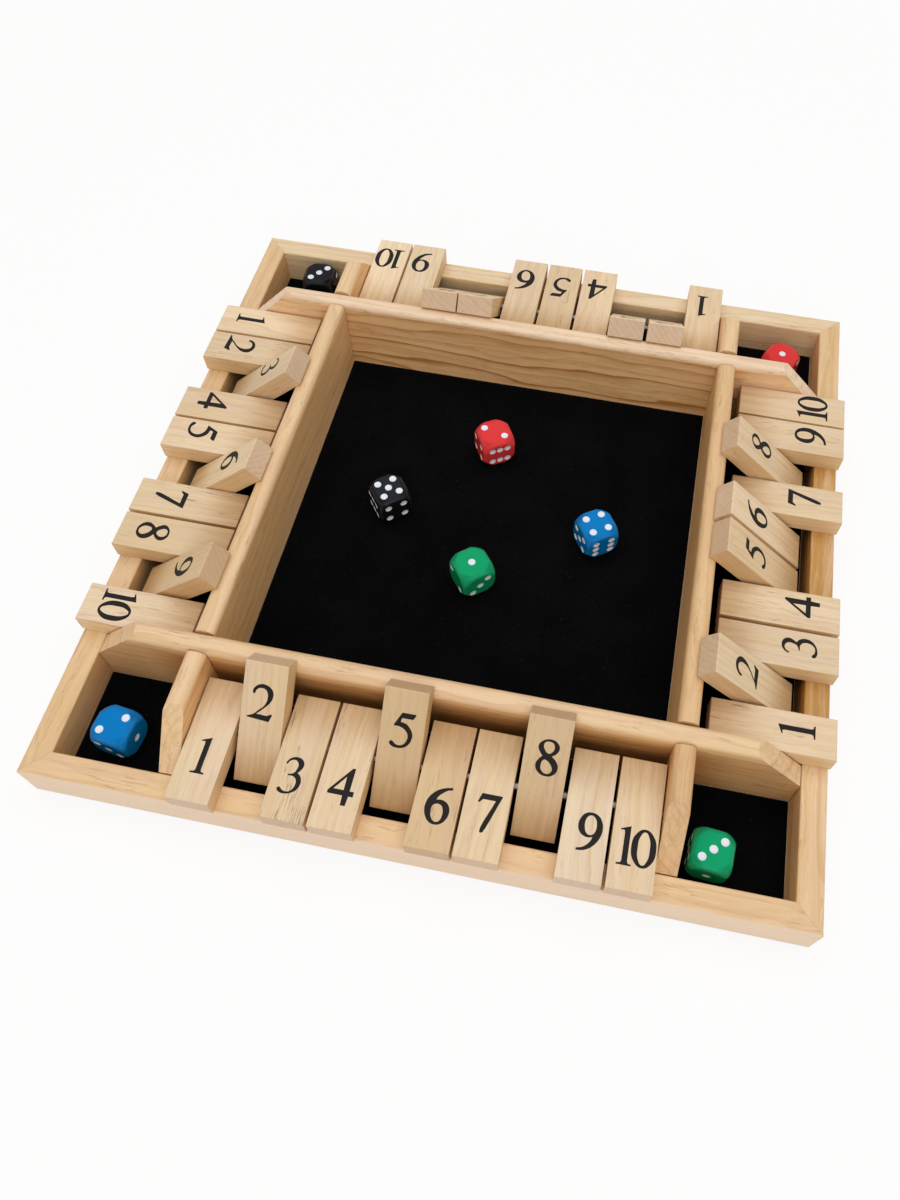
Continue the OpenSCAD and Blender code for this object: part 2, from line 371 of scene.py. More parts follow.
class Wood(Shader):
    """Wood cut from a log. A board's own frame has its grain along Y and its face up Z.
    The steps that take a colour and return one are laid over each other."""

    def __init__(self, name, look, location, turn, seed):
        super().__init__(bpy.data.materials.new(name))
        self.look = look
        self.turn = turn
        here = self.place(location, turn)
        self.x, self.y, self.z = self.node("SeparateXYZ", {"Vector": here}).outputs
        self.from_middle = self.math("ABSOLUTE", self.y)
        self.normal = self.node("TexCoord").outputs["Normal"]
        self.soft_normal = self.rounded(EDGE_RADIUS, EDGE_SAMPLES)

        # Each board is cut from its own place in its own log, and has its own tone
        luck = random.Random(seed)
        far = tuple(luck.uniform(-FAR_OFF, FAR_OFF) for _ in range(3))
        heart_x, heart_z = look["heart"]
        self.heart_x = heart_x * luck.choice((-1, 1)) * luck.uniform(0.5, 1.6)
        self.heart_z = heart_z * luck.uniform(0.7, 1.3)
        self.lean_x = luck.uniform(-1, 1) * look["slant"]
        self.lean_z = luck.uniform(-1, 1) * look["slant"]
        self.bright = 1 + luck.uniform(-1, 1) * look["spread"]
        self.warm = luck.uniform(-1, 1) * look["spread"] * 0.5

        # Fibres and bands run along the grain, all a little wavy
        self.spot = self.vector_math("ADD", here, far)
        self.sway = self.grain("sway", detail=2.0)
        self.ripple = self.grain("ripple")
        wave = self.node("CombineXYZ", {"X": self.times(self.minus(self.sway, 0.5), 9.0),
                                        "Z": self.times(self.minus(self.ripple, 0.5), 3.0)})
        self.spot = self.vector_math("ADD", self.spot, wave.outputs[0])
        self.fibre = self.grain("fibre", detail=4.0, roughness=0.65)
        self.broad = self.grain("broad", detail=3.0, roughness=0.55)
        self.late = self.growth_rings()
        if look["sapwood"]:
            self.sap = self.sapwood()
            self.late = self.times(self.late, self.scaled(self.sap, -0.75, 1.0))

    def grain(self, pattern, detail=1.0, roughness=0.5):
        across, along = PATTERNS[pattern]
        spot = self.stretched(self.spot, (across, along, across))
        return self.noise(spot, detail=detail, roughness=roughness)

    def facing(self, direction):
        """How squarely a face looks in a direction, 1 for fully."""
        return self.vector_math("DOT_PRODUCT", self.normal, tuple(direction))

    def growth_rings(self):
        """The dark late wood of shells round the log's heart, which lies off to one side."""
        across = self.plus(self.scaled(self.y, self.lean_x, self.x), -self.heart_x)
        deep = self.plus(self.scaled(self.y, self.lean_z, self.z), -self.heart_z)
        squares = self.plus(self.math("POWER", across, 2.0), self.math("POWER", deep, 2.0))
        radius = self.math("SQRT", squares)
        shells = self.math("DIVIDE", radius, self.look["ring"])
        shells = self.scaled(self.sway, self.look["sway"], shells)
        shells = self.scaled(self.ripple, 0.22, shells)
        late = self.ramp(self.math("FRACT", shells), RING_SHADES)
        own = self.node("TexWhiteNoise", {"W": self.math("FLOOR", shells)},
                        noise_dimensions="1D")
        return self.times(late, self.scaled(own.outputs["Value"], 0.8, 0.2))

    def sapwood(self):
        """Sapwood, at a board's top and ends, is paler and has no bold rings."""
        top, reach = self.look["sapwood"]
        at_top = self.between(self.z, top - SAPWOOD_TOP, top)
        at_ends = self.between(self.from_middle, reach - SAPWOOD_ENDS, reach)
        return self.math("MAXIMUM", at_top, at_ends)

    def flecks(self):
        """Short dark flecks along the grain, in clusters."""
        fleck = self.between(self.grain("fleck", detail=3.0, roughness=0.6), 0.53, 0.68)
        return self.times(fleck, self.between(self.grain("patch"), 0.47, 0.62))

    def face(self, shade):
        """The light colour of the faces. It drifts between pinker and yellower."""
        red, green, blue = self.look["light"]
        bright = shade * self.bright
        # Darker boards are also more orange
        red *= bright
        green *= bright * shade ** 0.5 * (1 - self.warm * 0.4)
        blue *= bright * shade ** 1.3 * (1 - self.warm)
        self.own_light = (red, green, blue)
        hue = self.between(self.grain("hue"), 0.35, 0.65)
        face = self.mix(hue, (red, green * 0.985, blue * 1.02), (red, green, blue * 0.955))
        if self.look["sapwood"]:
            face = self.mix(self.times(self.sap, 0.6), face, self.look["sapwood_and_painted_light"])
        return face

    def darkened(self, colour):
        """Rings, fibres, bands, streaks and slow changes of tone take the face darker."""
        look = self.look
        darker = self.times(self.late, look["ring_depth"])
        darker = self.scaled(self.minus(self.fibre, MIDDLING), look["fibre_depth"], darker)
        darker = self.scaled(self.minus(self.broad, MIDDLING), look["broad_depth"], darker)
        # Orange streaks along the middle of a rail: partly the wood's own, partly painted shade
        # between the tiles
        if look["streaks_and_shade"]:
            reach, depth = look["streaks_and_shade"]
            streaks = self.scaled(self.between(self.broad, 0.35, 0.65), 0.30, 0.70)
            inside = self.between(self.from_middle, reach, reach * 0.75)
            darker = self.scaled(self.times(streaks, inside), depth, darker)
        if look["front_right"]:
            at_corner = self.between(self.minus(self.x, self.y), *CORNER)
            darker = self.scaled(at_corner, look["front_right"], darker)
        tone = self.minus(self.grain("tone"), MIDDLING)
        darker = self.scaled(tone, look["tone_depth"], darker, clamp=True)
        return self.mix(darker, colour, look["dark"])

    def painted_tail_shade(self, colour):
        """A tile's tail is darker and warmer: painted shade."""
        tail_shade = self.times(self.between(self.y, *TAIL_SHADE), self.scaled(self.broad, 0.6, 0.7),
                          clamp=True)
        return self.mix(tail_shade, colour, self.tinted(colour, self.look["tail_shade"]))

    def end_grain(self, colour):
        """End grain is duller and more lilac than the faces."""
        along = Euler(self.turn).to_matrix() @ Vector((0, 1, 0))
        self.end = self.between(self.math("ABSOLUTE", self.facing(along)), 0.75, 0.95)
        dull = self.tinted(self.mix(0.35, colour, self.own_light), self.look["end_tint"])
        speckle = self.noise(self.spot, scale=1.6, detail=4.0, roughness=0.7)
        speckle = self.times(self.between(speckle, 0.35, 0.7), 0.14)
        dull = self.mix(self.scaled(self.late, 0.30, speckle), dull, self.look["dark"])
        return self.mix(self.end, colour, dull)

    def painted_upright_light(self, colour):
        """Faces that stand upright are tinted apart from the tops, as painted light and shade."""
        up = self.node("SeparateXYZ", {"Vector": self.normal}).outputs[2]
        upright = self.between(self.math("ABSOLUTE", up), 0.6, 0.2)
        upright = self.times(upright, self.minus(1.0, self.end))
        return self.mix(upright, colour, self.tinted(colour, self.look["upright_light_tint"]))

    def painted_recess_shade(self, colour, side):
        """Painted shade: a wall's face towards the tiles is darker, but for a strip at the top.
        """
        shade_mask = self.times(self.between(self.facing(side), 0.5, 0.95),
                           self.between(self.z, *PAINTED_SHADE_TOP))
        at_middle = self.between(self.from_middle, *PAINTED_SHADE_ENDS)
        shade_mask = self.times(shade_mask, self.scaled(at_middle, 0.6, 0.4))
        return self.mix(shade_mask, colour, self.tinted(colour, self.look["painted_recess_shade"]))

    def sapwood_and_painted_light(self, colour, side):
        """The faces on the outside of the frame are painted paler: painted light thrown back by
        the table.
        """
        painted_light_mask = self.times(self.between(self.facing(side), 0.3, 0.9), 0.7)
        return self.mix(painted_light_mask, colour, self.look["sapwood_and_painted_light"])

    def painted_edge_highlight(self, colour):
        """The edges are painted a little lighter: a painted highlight."""
        flat = self.node("NewGeometry").outputs["True Normal"]
        edge = self.minus(1.0, self.vector_math("DOT_PRODUCT", self.soft_normal, flat))
        edge = self.times(self.between(edge, 0.01, 0.25), 0.35)
        return self.mix(edge, colour, self.look["painted_edge_highlight"])


def wood(name, look, location, turn, seed, flecks=1.0, shade=1.0, sapwood_and_painted_light=None, painted_recess_shade=None):
    """Wood for one board. The last two arguments are directions, for the faces that get painted
    light and painted shade.
    """
    s = Wood(name, look, location, turn, seed)
    fleck = s.flecks()
    colour = s.darkened(s.face(shade))
    fleck_depth = s.times(fleck, look["fleck_depth"] * flecks, clamp=True)
    colour = s.mix(fleck_depth, colour, look["fleck"])
    # A tile's tail gets painted shade
    if look["tail_shade"]:
        colour = s.painted_tail_shade(colour)
    colour = s.end_grain(colour)
    # Upright faces get painted light and shade
    colour = s.painted_upright_light(colour)
    # The walls' faces towards the tiles get painted shade
    if painted_recess_shade:
        colour = s.painted_recess_shade(colour, painted_recess_shade)
    # The faces on the outside of the frame get painted light
    if sapwood_and_painted_light:
        colour = s.sapwood_and_painted_light(colour, sapwood_and_painted_light)
    # The edges get a painted highlight
    colour = s.painted_edge_highlight(colour)

    # Late wood is smoother and stands proud, and flecks are sunk
    rough = s.scaled(s.fibre, 0.22, look["rough"] - 0.11)
    rough = s.scaled(s.late, -0.08, rough)
    height = s.scaled(s.fibre, 0.7, s.times(s.late, 0.5))
    height = s.scaled(fleck, -0.7, height)
    return s.finish_surface({
        "Base Color": colour,
        "Roughness": rough,
        "Normal": s.bump(height, look["bump"], distance=0.08, normal=s.soft_normal),
        "Specular IOR Level": look["gloss"],
    })


# Felt, steel, plastic and ink

FELT_DARK = (0.0006, 0.0006, 0.0008)
FELT_LIGHT = (0.0034, 0.0034, 0.0041)
LINT = (0.022, 0.022, 0.025)


def felt(name):
    """Black needled felt: a tangle of fine fibres with a soft sheen and a little lint."""
    s = new_shader(name)
    spot = s.place()
    bend = s.noise(spot, scale=0.6, detail=2.0)
    turned = s.vector_math("ADD", s.stretched(spot, (2.4, 0.7, 1.0)), (17.0, 3.0, 0.0))
    one_way = s.noise(s.vector_math("ADD", turned, bend), scale=1.2, detail=3.0, roughness=0.7)
    other = s.noise(s.stretched(spot, (0.8, 2.8, 1.0)), scale=1.2, detail=3.0, roughness=0.7)
    tangle = s.math("MAXIMUM", one_way, other)
    cloud = s.noise(spot, scale=0.05, detail=3.0)
    shade = s.scaled(cloud, 0.35, s.times(tangle, 0.65))
    colour = s.mix(s.between(shade, 0.35, 0.7), FELT_DARK, FELT_LIGHT)
    lint = s.noise(s.stretched(spot, (1.1, 1.9, 1.0)), scale=0.9, detail=0.0)
    lint = s.between(lint, 0.80, 0.83)
    return s.finish_surface({
        "Base Color": s.mix(s.times(lint, 0.5), colour, LINT),
        "Roughness": s.scaled(tangle, 0.1, 0.86),
        "Normal": s.bump(s.plus(one_way, other), strength=0.8, distance=0.25),
        "Specular IOR Level": 0.03,
        "Sheen Weight": 0.012,
        "Sheen Roughness": 0.5,
    })


STEEL_CLEAN = (0.24, 0.225, 0.20)
STEEL_DULL = (0.16, 0.15, 0.13)


def steel(name):
    """Drawn steel rod: fine lines and a few dull patches."""
    s = new_shader(name)
    spot = s.place()
    lines = s.noise(s.stretched(spot, (0.6, 0.6, 14.0)), detail=3.0)
    dull = s.noise(spot, scale=0.25, detail=3.0)
    return s.finish_surface({
        "Base Color": s.mix(s.between(dull, 0.4, 0.75), STEEL_CLEAN, STEEL_DULL),
        "Metallic": 1.0,
        "Roughness": s.scaled(lines, 0.16, s.scaled(dull, 0.2, 0.22)),
        "Normal": s.bump(lines, strength=0.15, distance=0.03),
    })


PIP_PAINT = (0.82, 0.88, 0.96)
PIP_PAINT_DULL = (0.75, 0.80, 0.87)
# The colour of the painted glint along the dice's rounded edges
PAINTED_GLINT_COLOUR = (0.80, 0.86, 0.88)
# How far inside a pip's rim its paint ends, and how deep the surface has to be sunk for paint
PAINT_IN = 0.12
PAINT_DEPTH = 0.02
# How far from the middle of a rounded edge its painted glint reaches, and the edge's rounding
GLINT_REACH = 1.6
DIE_EDGE_RADIUS = 1.1
DIE_EDGE_SAMPLES = 8


def die_plastic(name, colour, centre, yaw):
    """Glossy moulded plastic with white paint in the pips and a painted glint along the edges."""
    s = new_shader(name)
    spot = s.place(centre, (0, 0, yaw))
    # How far out a spot lies along each axis, in order of size
    x, y, z = s.node("SeparateXYZ", {"Vector": s.vector_math("ABSOLUTE", spot)}).outputs
    larger = s.math("MAXIMUM", x, y)
    smaller = s.math("MINIMUM", x, y)
    largest = s.math("MAXIMUM", larger, z)
    second = s.math("MAXIMUM", smaller, s.math("MINIMUM", larger, z))
    third = s.math("MINIMUM", smaller, z)
    # Paint lies where the surface is sunk and near one of the places that a pip can have
    aside = []
    for out in (second, third):
        to_outer = s.math("ABSOLUTE", s.minus(out, PIP_OUT))
        aside.append(s.math("POWER", s.math("MINIMUM", out, to_outer), 2.0))
    near = s.math("LESS_THAN", s.plus(*aside), (PIP_RADIUS - PAINT_IN) ** 2)
    sunk = s.math("LESS_THAN", largest, DIE_HALF - PAINT_DEPTH)
    pip = s.times(sunk, near)

    deep = tuple(part * 0.82 for part in colour)
    body = s.mix(s.noise(spot, scale=0.12, detail=2.0), deep, colour)
    # The middle of each rounded edge is painted lighter: a painted glint
    wear_and_glint = s.times(s.noise(spot, scale=0.5, detail=1.0), 0.045)
    wear_and_glint = s.times(s.between(s.minus(largest, second), GLINT_REACH, 0.0), wear_and_glint)
    body = s.mix(wear_and_glint, body, PAINTED_GLINT_COLOUR)
    paint = s.mix(s.noise(spot, scale=0.9, detail=2.0), PIP_PAINT, PIP_PAINT_DULL)
    scuff = s.noise(s.stretched(spot, (0.3, 2.0, 2.6)), scale=1.5, detail=4.0, roughness=0.7)
    scuff = s.between(scuff, 0.52, 0.8)
    rough = s.scaled(pip, 0.25, s.scaled(scuff, 0.14, 0.09))
    height = s.scaled(scuff, -0.3, s.noise(spot, scale=0.35, detail=1.0))
    soft_normal = s.rounded(DIE_EDGE_RADIUS, DIE_EDGE_SAMPLES)
    # The gloss takes on the die's own colour, so that it doesn't veil the faces with white
    tint = tuple(0.10 + 0.90 * part / max(0.026, *colour) for part in colour)
    return s.finish_surface({
        "Base Color": s.mix(pip, body, paint),
        "Roughness": rough,
        "Normal": s.bump(height, strength=0.08, distance=0.06, normal=soft_normal),
        "Specular IOR Level": 0.20,
        "Specular Tint": s.mix(pip, tint, WHITE),
    })


INK = (0.006, 0.004, 0.003)
THIN_INK = (0.030, 0.020, 0.014)


def ink(name):
    """Black printing ink that sinks into the grain and thins out here and there."""
    s = new_shader(name)
    spot = s.place()
    speck = s.noise(spot, scale=2.6, detail=3.0, roughness=0.7)
    thin = s.between(s.noise(spot, scale=0.35, detail=2.0), 0.45, 0.75)
    wear_and_glint = s.times(s.between(speck, 0.5, 0.72), s.scaled(thin, 0.7, 0.1))
    return s.finish_surface({
        "Base Color": s.mix(wear_and_glint, INK, THIN_INK),
        "Roughness": s.scaled(speck, 0.2, 0.5),
        "Normal": s.bump(speck, strength=0.3, distance=0.04),
        "Specular IOR Level": 0.18,
    })


# Where the tiles are

joint_of = {joint["child"]: joint for joint in frame["joints"]}


def tile_name(row, number):
    return f"{SIDES[row]}_tile_{number}"


def raised_by(row, number):
    """How far a tile is raised at rest, in degrees: 0 where it lies on the rail."""
    lowest = joint_of[tile_name(row, number) + "_body"]["range_deg"][0]
    return max(0.0, -lowest)


def tile_place(row, number):
    """Where the middle of a tile's bore is, in metres, and how the tile is turned."""
    name = tile_name(row, number)
    along = row % 2
    spot = Vector(joint_of[name + "_body"]["pos_m"])
    spot[along] = middle_of(name)[along]
    turn = (-math.radians(raised_by(row, number)), 0.0, QUARTER * row)
    return spot, turn


# Printed numbers

# Outlines of the numbers, in mm from the middle of the baseline. A third value marks a corner.
GLYPHS = {
    "1": [[(-2.65, 0, 1), (2.6, 0, 1), (2.6, 0.5, 1), (1.5, 0.75), (1.15, 1.6, 1),
           (1.2, 13.4, 1), (1.25, 14.0, 1), (-2.3, 12.65, 1), (-2.25, 12.2, 1), (-1.1, 12.35),
           (-0.75, 11.2, 1), (-0.8, 1.6, 1), (-1.1, 0.85), (-2.65, 0.5, 1)]],
    "2": [[(-3.1, 10), (-3.4, 10.65), (-2.4, 12.8), (-0.55, 13.85), (0.8, 14), (3.25, 13),
           (4.4, 11.3), (4.5, 10), (3.9, 7.9), (2, 5.4), (-0.1, 3.3), (-1.4, 2.1, 1),
           (2.8, 1.9, 1), (4.5, 2.85, 1), (4.75, 2.5, 1), (3.7, -0.25, 1), (-4.75, 0.4, 1),
           (-4.85, 0.75, 1), (-2.4, 1.85), (-0.55, 3.7), (1.1, 5.3), (2.2, 7.3), (2.5, 9),
           (2.4, 10.5), (1.65, 11.9), (0.3, 12.5), (-1, 12.3), (-2.2, 11.3), (-2.75, 10)]],
    "3": [[(-3.2, 11.1), (-3, 12.3), (-1.75, 13.6), (-0.05, 14.1), (1.85, 13.7), (3, 12.5),
           (3.25, 11.2), (2.85, 9.9), (1.75, 8.3, 1), (2.9, 7.5), (3.75, 6), (3.95, 4.6),
           (3.3, 2.4), (1.4, 0.75), (-0.7, 0.1), (-2.8, 0.3), (-3.85, 1.15), (-3.85, 1.8),
           (-3.2, 2.15), (-2.6, 1.75), (-1.95, 1.2), (-0.5, 0.9), (1, 1.35), (1.95, 2.65),
           (2.25, 4.3), (1.95, 5.7), (1, 6.7), (-0.05, 7), (-1.5, 6.9, 1), (-1.6, 7.3, 1),
           (-0.5, 7.6), (0.6, 8.3), (1.2, 9.8), (1.35, 11.1), (0.8, 12.3), (-0.25, 12.95),
           (-1.5, 12.8), (-2.5, 12), (-2.9, 11.1)]],
    "4": [[(-4.6, 3.65, 1), (-4.85, 4.3), (-4.3, 5.4, 1), (2.3, 14.1, 1), (3.2, 14, 1),
           (3.15, 5.5, 1), (4.8, 5.5, 1), (4.8, 3.65, 1), (3.15, 3.65, 1), (2.85, 0, 1),
           (1.15, 0, 1), (0.95, 3.65, 1)],
          [(-3, 5.55, 1), (0.95, 5.55, 1), (0.85, 10.8, 1)]],
    "5": [[(-0.8, 13.8, 1), (4.3, 13.85, 1), (4.35, 13.45, 1), (3.5, 11.85, 1),
           (-0.7, 11.75, 1), (-1.1, 10.2, 1), (1, 9.75), (2.7, 8.3), (3.8, 6.3), (3.85, 4.6),
           (2.9, 2), (1, 0.45), (-1.4, 0.05), (-3.3, 0.45), (-4.2, 1.3), (-4.1, 2.15),
           (-3.5, 2.45), (-2.85, 2.05), (-1.9, 1.3), (-0.5, 1.1), (1, 1.75), (2.05, 3.4),
           (2.2, 5.5), (1.4, 7), (-0.2, 8.1), (-1.9, 8.5), (-3.3, 8.45, 1), (-3.4, 8.8, 1)]],
    "6": [[(4, 14.15, 1), (1.7, 13.65), (-0.4, 12.8), (-2.5, 11.1), (-3.8, 9.3), (-4.5, 6.9),
           (-4.5, 4.8), (-3.6, 2.25), (-2.1, 0.6), (0, -0.1), (2.3, 0.55), (3.8, 2.25),
           (4.5, 4.4), (4.2, 6.7), (3.15, 8.15), (1.3, 9), (-0.2, 9), (-1.05, 8.7, 1),
           (-0.6, 10.05), (0.7, 11.5), (2.3, 12.8), (4.1, 13.3, 1)],
          [(-1.9, 6.6), (-0.85, 7.4), (0.2, 7.5), (1.45, 6.9), (2.2, 5.2), (2.3, 3.5),
           (1.75, 1.6), (0.65, 0.85), (-0.65, 1.2), (-1.7, 2.5), (-2.15, 4.6)]],
    "7": [[(-3.15, 14, 1), (4.35, 14, 1), (4.25, 13.45, 1), (-0.3, 0.25), (-0.8, -0.1),
           (-1.5, 0.1), (2.25, 12, 1), (-2.5, 11.95, 1), (-3.7, 10.6, 1), (-4.2, 10.8, 1)]],
    "8": [[(0.05, 14), (-2.6, 13), (-3.9, 10.95), (-3.2, 8.9), (-1.95, 7.4, 1), (-3.3, 5.7),
           (-4, 3.4), (-2.7, 0.9), (0.05, -0.2), (2.9, 0.7), (4.15, 3.4), (3.2, 6),
           (1.3, 7.6, 1), (3.1, 9.2), (3.75, 11.2), (2.6, 13.2)],
          [(0, 13.15), (-1.5, 12.8), (-2.1, 11.6), (-1.5, 9.8), (0.05, 8.5), (1.5, 9.4),
           (2, 10.95), (1.4, 12.6)],
          [(-1.25, 6), (-2.15, 3.8), (-1.6, 1.7), (0.2, 0.65), (1.8, 1.4), (2.2, 2.75),
           (1.6, 4.2), (-0.2, 5.9)]],
    "9": [[(-0.1, 14.1), (-2.4, 13.5), (-3.9, 11.6), (-4.45, 9.05), (-3.9, 6.95), (-2.4, 5.55),
           (-0.5, 5.1), (1.15, 5.55, 1), (0.75, 4.2), (-0.5, 2.5), (-2.2, 1.25),
           (-4.1, 0.75, 1), (-4.1, 0, 1), (-1.8, 0.3), (0.3, 1.25), (2.45, 3.35), (3.9, 6.1),
           (4.35, 8.85), (3.9, 11.15), (2.45, 13.25)],
          [(-0.1, 13.15), (-1.55, 12.4), (-2.2, 10.5), (-2.1, 8.4), (-1.45, 6.7), (-0.1, 5.95),
           (1.15, 6.4), (2, 8), (2.1, 10.1), (1.4, 12.2)]],
    "0": [[(0, 13.75), (-3.1, 11.75), (-4.4, 6.9), (-3.1, 2.05), (0, 0.05), (3.1, 2.05),
           (4.4, 6.9), (3.1, 11.75)],
          [(0, 12.85), (-1.6, 11.1), (-2.2, 6.9), (-1.6, 2.7), (0, 0.95), (1.6, 2.7),
           (2.2, 6.9), (1.6, 11.1)]],
}
GLYPH_HEIGHT = 14.0
# How far the two figures of the ten stand to the sides of its middle
TEN_FIGURES = [("1", -4.1), ("0", 2.35)]
# How far the ink spreads past the outlines
INK_SPREAD = 0.05
# How many straight steps a bend between two points is drawn with
CURVE_STEPS = 5
# Half the thickness of the ink, and how far its middle stands off the wood
INK_HALF = 0.02
INK_OUT = 0.01

# Where each number is printed on the face that shows, one row after another: mm to the right of
# the tile's middle, and mm from the rod towards the tile's outer end
PRINTS = [
    [(0.2, 12.9), (-1, 15.2), (-1, 13.9), (0.4, 14), (0.1, 14.7), (0.6, 14), (0.9, 13.5),
     (0.6, 15.1), (1.7, 12.9), (1.0, 14.9)],
    [(1.3, 15.3), (0.2, 12.6), (1.4, 15), (1.7, 15.3), (0.4, 12.6), (0.7, 13.5), (1.2, 14.1),
     (2.5, 14.4), (1.7, 15.5), (1.0, 15.7)],
    [(1.3, 16.6), (0.3, 14), (0.3, 14), (0.6, 17.2), (0.6, 15.2), (1.1, 16.6), (0.3, 14),
     (0.3, 14), (1.8, 18.2), (1.0, 17.4)],
    [(-1.3, 15.8), (-2.4, 15.3), (-3.5, 12.3), (-2.1, 15.7), (-2.4, 14.5), (-2.5, 13.7),
     (-0.7, 15), (-0.8, 15.7), (-0.8, 12.6), (-0.2, 16.4)],
]
# Where the number is on the tile's other face
PRINT_BEHIND = (0.3, 14.0)


def figure_mesh(label):
    """A flat figure of ink, its middle at the origin and its top towards +Y."""
    curve = bpy.data.curves.new("figure_" + label, "CURVE")
    curve.dimensions = "2D"
    curve.fill_mode = "BOTH"
    curve.extrude = INK_HALF * MM
    curve.offset = INK_SPREAD * MM
    curve.resolution_u = CURVE_STEPS
    figures = TEN_FIGURES if label == "10" else [(label, 0.0)]
    for figure, aside in figures:
        for loop in GLYPHS[figure]:
            spline = curve.splines.new("BEZIER")
            spline.bezier_points.add(len(loop) - 1)
            spline.use_cyclic_u = True
            for point, spot in zip(spline.bezier_points, loop):
                handle = "VECTOR" if len(spot) == 3 else "AUTO"
                point.co = ((spot[0] + aside) * MM, (spot[1] - GLYPH_HEIGHT / 2) * MM, 0)
                point.handle_left_type = handle
                point.handle_right_type = handle
    holder = bpy.data.objects.new("figure_" + label, curve)
    bpy.context.scene.collection.objects.link(holder)
    bpy.context.view_layer.update()
    seen = holder.evaluated_get(bpy.context.evaluated_depsgraph_get())
    mesh = bpy.data.meshes.new_from_object(seen)
    bpy.data.objects.remove(holder)
    bpy.data.curves.remove(curve)
    return mesh


def number_mesh(row, number, figure):
    """The ink on both broad faces of a tile, in its place."""
    spot, turn = tile_place(row, number)
    to_world = Matrix.Translation(spot) @ Euler(turn).to_matrix().to_4x4()
    shown = PRINTS[row][number - 1]
    raised = raised_by(row, number) > 0
    top, under = (PRINT_BEHIND, shown) if raised else (shown, PRINT_BEHIND)
    off = TILE_THICKNESS / 2 + INK_OUT
    on_top = Matrix.Translation(Vector((top[0], -top[1], off)) * MM)
    turned_over = Matrix.Rotation(math.pi, 4, "X")
    on_under = Matrix.Translation(Vector((under[0], -under[1], -off)) * MM) @ turned_over
    built = bmesh.new()
    for place in (on_top, on_under):
        copy = figure.copy()
        copy.transform(to_world @ place)
        built.from_mesh(copy)
        bpy.data.meshes.remove(copy)
    mesh = bpy.data.meshes.new(tile_name(row, number) + "_number")
    built.to_mesh(mesh)
    built.free()
    return mesh


def add_piece(name, mesh, body, material):
    piece = bpy.data.objects.new(name, mesh)
    bpy.context.scene.collection.objects.link(piece)
    mesh.materials.clear()
    mesh.materials.append(material)
    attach(piece, body)
    return piece


def print_numbers(material):
    figures = {number: figure_mesh(str(number)) for number in range(1, TILES_IN_ROW + 1)}
    for row in range(len(SIDES)):
        for number, figure in figures.items():
            name = tile_name(row, number)
            mesh = number_mesh(row, number, figure)
            add_piece(name + "_number", mesh, name + "_body", material)
    for figure in figures.values():
        bpy.data.meshes.remove(figure)


# Felt sheets

# How wide a sheet's facets are and how few it may have each way, how far its top dips and
# rises, and how often per mm
FELT_STEP = 2.0
FELT_FEWEST = 4
FELT_PUFF = 0.10
FELT_PUFFS = (0.08, 0.35)
# How far the top sinks at the cut edge and one facet further in
FELT_DROPS = (0.25, 0.03)
# How far the cut edge stands back at least, how much further it waves, how often per mm, and
# how far off from the top's noise that of the waves is taken
FELT_BACK = 0.08
FELT_WAVE = 0.05
FELT_WAVES = 0.12
FELT_WAVES_OFF = Vector((9, 4, 7))
# Corners of a mesh that are nearer than this are one, in metres
WELD = 1e-6


def islands(mesh):
    """The boxes of a mesh's separate solids, as lowest and highest corners, front ones first."""
    built = bmesh.new()
    built.from_mesh(mesh)
    bmesh.ops.remove_doubles(built, verts=built.verts, dist=WELD)
    left = set(built.verts)
    boxes = []
    while left:
        heap = [left.pop()]
        found = []
        while heap:
            vertex = heap.pop()
            found.append(vertex.co.copy())
            for edge in vertex.link_edges:
                other = edge.other_vert(vertex)
                if other in left:
                    left.remove(other)
                    heap.append(other)
        low = Vector([min(co[k] for co in found) for k in range(3)])
        high = Vector([max(co[k] for co in found) for k in range(3)])
        boxes.append((low, high))
    built.free()
    # Boxes whose fronts are in line to a tenth of a mm are one row, from left to right
    return sorted(boxes, key=lambda box: (round(box[0].y, 4), round(box[0].x, 4)))


def felt_top(built, low, high):
    """Rows of vertices for a gently uneven top with soft, slightly wavy cut edges."""
    width, depth = high.x - low.x, high.y - low.y
    columns = max(FELT_FEWEST, round(width / MM / FELT_STEP))
    rows = max(FELT_FEWEST, round(depth / MM / FELT_STEP))
    grid = []
    for j in range(rows + 1):
        line = []
        for i in range(columns + 1):
            x = low.x + width * i / columns
            y = low.y + depth * j / rows
            spot = Vector((x, y, 0)) / MM
            puff = sum(noise.noise(spot * often) for often in FELT_PUFFS) / len(FELT_PUFFS)
            border = min(i, columns - i, j, rows - j)
            drop = FELT_DROPS[border] if border < len(FELT_DROPS) else 0.0
            z = high.z + ((puff - 1) * FELT_PUFF - drop) * MM
            wave = noise.noise(spot * FELT_WAVES + FELT_WAVES_OFF)
            inwards = (FELT_BACK + abs(wave) * FELT_WAVE) * MM
            x += inwards * ((i == 0) - (i == columns))
            y += inwards * ((j == 0) - (j == rows))
            line.append(built.verts.new((x, y, z)))
        grid.append(line)
    return grid


